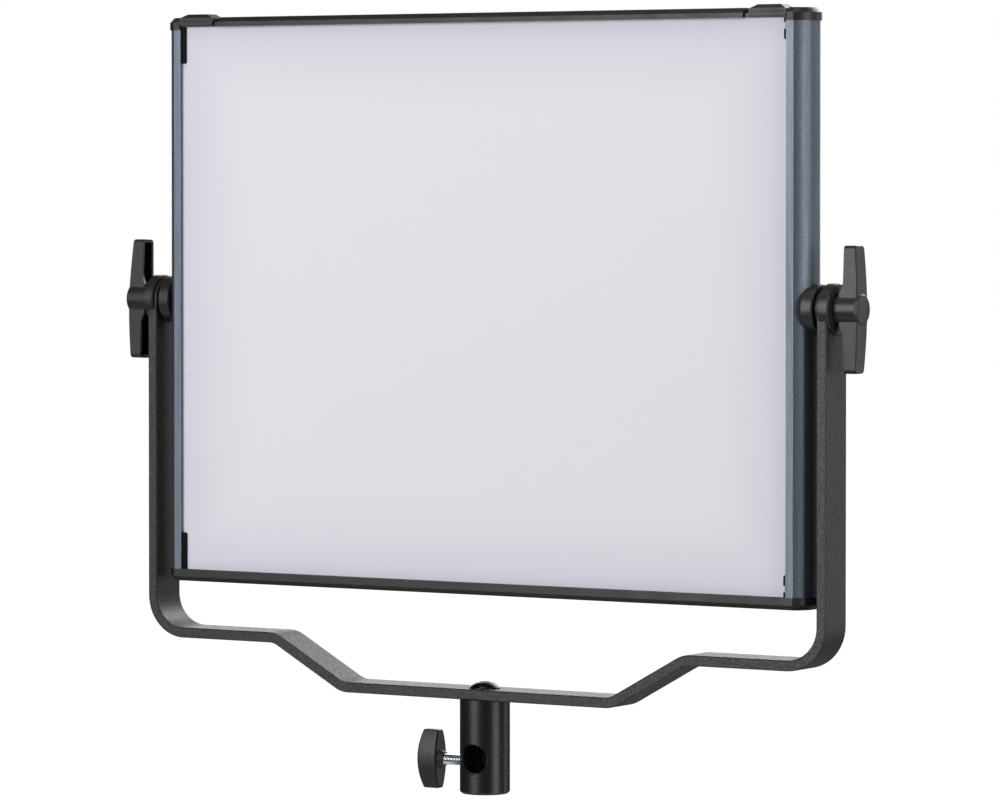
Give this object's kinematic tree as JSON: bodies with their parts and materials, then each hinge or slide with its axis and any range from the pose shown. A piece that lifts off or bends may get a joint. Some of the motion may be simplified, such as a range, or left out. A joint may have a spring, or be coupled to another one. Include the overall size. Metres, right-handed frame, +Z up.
{
  "type": "led panel light",
  "caption": "Flat rectangular soft light on a U-shaped yoke that tilts between two clamping handles, with a socket and thumb screw under it for a lighting stand",
  "frame": {"origin": "centre of the stand receiver's mouth, on the axis of its bore", "axes": "+Z up along the receiver's bore, +X to the light's left-to-right seen from the front, the light shines towards -Y"},
  "size_m": [0.4782, 0.0695, 0.4366],
  "materials": {
    "yoke_powder_coat": "textured black powder coat",
    "receiver_black": "satin black",
    "bolt_black_oxide": "oiled black oxide",
    "zinc_steel": "bright zinc",
    "knob_plastic": "smooth black",
    "rail_anodised": "dark anodised",
    "trim_plastic": "fine grain black",
    "diffuser_opal": "opal white",
    "reflector_white": "white",
    "led_board_white": "white solder mask",
    "led_phosphor": "phosphor lens",
    "spacer_nylon": "natural nylon",
    "back_plate_black": "satin black",
    "screw_black": "black oxide",
    "spacer_black": "textured black",
    "handle_plastic": "fine grain black",
    "catch_plastic": "fine grain black",
    "clip_plastic": "dark",
    "housing_plastic": "textured black",
    "display_window_clear": "smoked clear",
    "display_dark": "dark display",
    "board_green": "green solder mask",
    "switch_plastic": "black",
    "driver_parts_dark": "dark",
    "rocker_plastic": "gloss black",
    "encoder_steel": "bright steel",
    "control_knob_rubber": "soft-touch black",
    "button_grey": "grey"
  },
  "bodies": {
    "yoke": {"yoke_bar": "yoke_powder_coat", "stand_receiver": "receiver_black", "receiver_bolt": "bolt_black_oxide", "knuckle_cap_right": "yoke_powder_coat", "knuckle_cap_left": "yoke_powder_coat"},
    "thumb_screw": {"thumb_screw_shank": "zinc_steel"},
    "thumb_knob": {"thumb_screw_knob": "knob_plastic"},
    "head": {"side_rail_right": "rail_anodised", "side_rail_left": "rail_anodised", "top_trim": "trim_plastic", "bottom_trim": "trim_plastic", "diffuser": "diffuser_opal", "reflector_frame": "reflector_white", "led_board": "led_board_white", "leds": "led_phosphor", "board_spacers": "spacer_nylon", "back_plate": "back_plate_black", "back_screws": "screw_black", "pivot_block_right": "zinc_steel", "pivot_block_left": "zinc_steel", "pivot_spacer_right": "spacer_black", "pivot_spacer_left": "spacer_black", "clip_top_right": "clip_plastic", "clip_bottom_right": "clip_plastic", "clip_top_left": "clip_plastic", "clip_bottom_left": "clip_plastic", "control_housing": "housing_plastic", "housing_screws": "screw_black", "display_window": "display_window_clear", "display_module": "display_dark", "control_board": "board_green", "tact_switches": "switch_plastic", "driver_board": "board_green", "driver_parts": "driver_parts_dark", "power_switch_frame": "switch_plastic", "dc_inlet": "switch_plastic", "brightness_encoder": "encoder_steel", "colour_encoder": "encoder_steel"},
    "pivot_screw_right": {"pivot_screw_right": "zinc_steel"},
    "pivot_screw_left": {"pivot_screw_left": "zinc_steel"},
    "tilt_handle_right": {"tilt_handle_right": "handle_plastic"},
    "tilt_handle_left": {"tilt_handle_left": "handle_plastic"},
    "catch_right": {"catch_right": "catch_plastic"},
    "catch_left": {"catch_left": "catch_plastic"},
    "brightness_knob": {"brightness_shaft": "encoder_steel", "brightness_knob": "control_knob_rubber"},
    "colour_knob": {"colour_shaft": "encoder_steel", "colour_knob": "control_knob_rubber"},
    "mode_button": {"mode_button": "button_grey"},
    "memory_button": {"memory_button": "button_grey"},
    "lock_button": {"lock_button": "button_grey"},
    "power_rocker": {"power_rocker": "rocker_plastic"}
  },
  "joints": [
    {"name": "head_tilt", "type": "hinge", "parent": "yoke", "child": "head", "pos_m": [0, 0, 0.273], "axis": [1, 0, 0], "continuous": true},
    {"name": "pivot_screw_right_draw", "type": "slide", "parent": "head", "child": "pivot_screw_right", "axis": [1, 0, 0], "range_m": [0, 0.00156]},
    {"name": "tilt_handle_right_turn", "type": "hinge", "parent": "pivot_screw_right", "child": "tilt_handle_right", "pos_m": [0.2297, 0, 0.273], "axis": [1, 0, 0], "range_deg": [0, 450]},
    {"name": "pivot_screw_left_draw", "type": "slide", "parent": "head", "child": "pivot_screw_left", "axis": [-1, 0, 0], "range_m": [0, 0.00156]},
    {"name": "tilt_handle_left_turn", "type": "hinge", "parent": "pivot_screw_left", "child": "tilt_handle_left", "pos_m": [-0.2317, 0, 0.273], "axis": [-1, 0, 0], "range_deg": [0, 450]},
    {"name": "thumb_screw_draw", "type": "slide", "parent": "yoke", "child": "thumb_screw", "axis": [1, 0, 0], "range_m": [-0.0015, 0.004]},
    {"name": "thumb_knob_turn", "type": "hinge", "parent": "thumb_screw", "child": "thumb_knob", "pos_m": [-0.034, 0, 0.0174], "axis": [1, 0, 0], "range_deg": [-540, 1440]},
    {"name": "catch_right_slide", "type": "slide", "parent": "head", "child": "catch_right", "axis": [-1, 0, 0], "range_m": [0, 0.003]},
    {"name": "catch_left_slide", "type": "slide", "parent": "head", "child": "catch_left", "axis": [1, 0, 0], "range_m": [0, 0.003]},
    {"name": "brightness_knob_turn", "type": "hinge", "parent": "head", "child": "brightness_knob", "pos_m": [-0.076, 0.048, 0.229], "axis": [0, 1, 0], "continuous": true},
    {"name": "colour_knob_turn", "type": "hinge", "parent": "head", "child": "colour_knob", "pos_m": [0.076, 0.048, 0.229], "axis": [0, 1, 0], "continuous": true},
    {"name": "mode_button_press", "type": "slide", "parent": "head", "child": "mode_button", "axis": [0, -1, 0], "range_m": [0, 0.0012], "stiffness_N_per_m": 400},
    {"name": "memory_button_press", "type": "slide", "parent": "head", "child": "memory_button", "axis": [0, -1, 0], "range_m": [0, 0.0012], "stiffness_N_per_m": 400},
    {"name": "lock_button_press", "type": "slide", "parent": "head", "child": "lock_button", "axis": [0, -1, 0], "range_m": [0, 0.0012], "stiffness_N_per_m": 400},
    {"name": "power_rocker_tip", "type": "hinge", "parent": "head", "child": "power_rocker", "pos_m": [0.076, 0.038, 0.173], "axis": [-1, 0, 0], "range_deg": [0, 16]}
  ],
  "couplings": [
    {"joint": "pivot_screw_right_draw", "follows": "tilt_handle_right_turn", "m_per_rad": 0.00019894},
    {"joint": "pivot_screw_left_draw", "follows": "tilt_handle_left_turn", "m_per_rad": 0.00019894},
    {"joint": "thumb_screw_draw", "follows": "thumb_knob_turn", "m_per_rad": 0.00015915}
  ]
}
